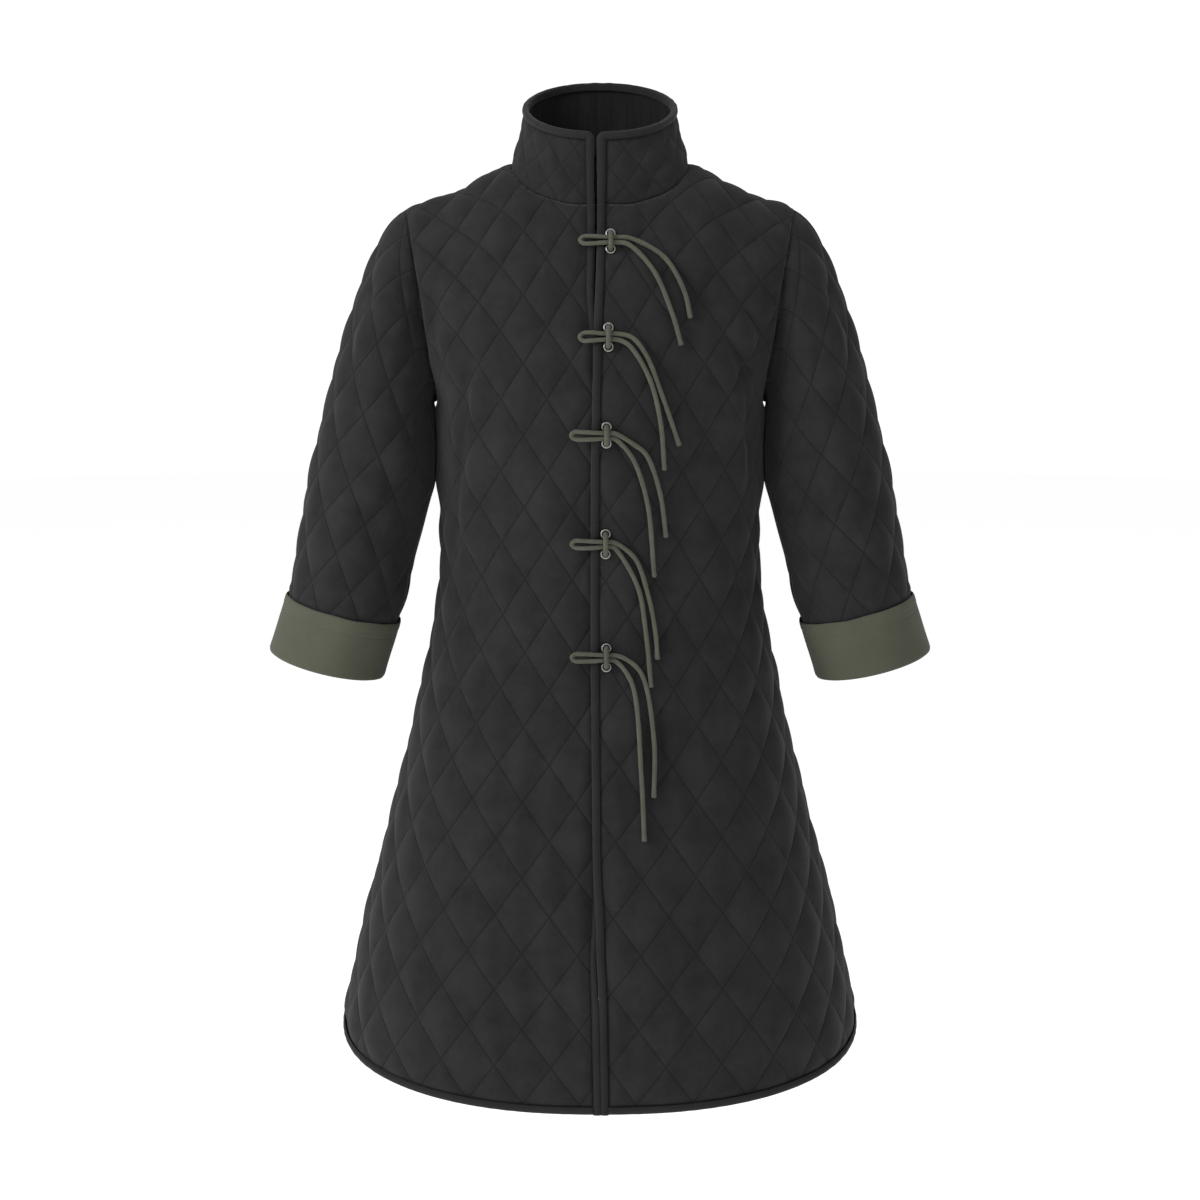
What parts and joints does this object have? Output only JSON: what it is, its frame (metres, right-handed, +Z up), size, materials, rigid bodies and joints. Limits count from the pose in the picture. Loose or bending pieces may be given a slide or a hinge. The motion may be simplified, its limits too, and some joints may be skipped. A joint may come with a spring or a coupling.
{
  "type": "quilted coat",
  "caption": "Knee-length charcoal coat in diamond-quilted cloth with a stand collar, bound edges, turned olive cuffs and cord ties through metal eyelets.",
  "frame": {"origin": "inside the shoulders, midway between them, where the wearer carries the coat", "axes": "+Z up, -Y the front of the coat, +X the wearer's left"},
  "size_m": [0.6774, 0.4276, 0.9971],
  "materials": {
    "quilted_cotton": "matte",
    "binding_tape": "matte",
    "olive_canvas": "matte",
    "olive_cord": "satin",
    "nickel": "brushed"
  },
  "bodies": {
    "root": {"front_left": "quilted_cotton", "front_right": "quilted_cotton", "back": "quilted_cotton", "sleeve_left": "quilted_cotton", "sleeve_right": "quilted_cotton", "collar": "quilted_cotton", "front_left_edge_binding": "binding_tape", "front_right_edge_binding": "binding_tape", "front_left_hem_binding": "binding_tape", "front_right_hem_binding": "binding_tape", "back_hem_binding": "binding_tape", "collar_binding": "binding_tape", "cuff_left": "olive_canvas", "cuff_right": "olive_canvas", "tie_1_bar": "olive_cord", "tie_2_bar": "olive_cord", "tie_3_bar": "olive_cord", "tie_4_bar": "olive_cord", "tie_5_bar": "olive_cord", "tie_1_loop": "olive_cord", "tie_1_tail_upper": "olive_cord", "tie_1_tail_lower": "olive_cord", "tie_2_loop": "olive_cord", "tie_2_tail_upper": "olive_cord", "tie_2_tail_lower": "olive_cord", "tie_3_loop": "olive_cord", "tie_3_tail_upper": "olive_cord", "tie_3_tail_lower": "olive_cord", "tie_4_loop": "olive_cord", "tie_4_tail_upper": "olive_cord", "tie_4_tail_lower": "olive_cord", "tie_5_loop": "olive_cord", "tie_5_tail_upper": "olive_cord", "tie_5_tail_lower": "olive_cord", "tie_1_eyelet_upper": "nickel", "tie_1_eyelet_lower": "nickel", "tie_2_eyelet_upper": "nickel", "tie_2_eyelet_lower": "nickel", "tie_3_eyelet_upper": "nickel", "tie_3_eyelet_lower": "nickel", "tie_4_eyelet_upper": "nickel", "tie_4_eyelet_lower": "nickel", "tie_5_eyelet_upper": "nickel", "tie_5_eyelet_lower": "nickel"}
  },
  "joints": []
}
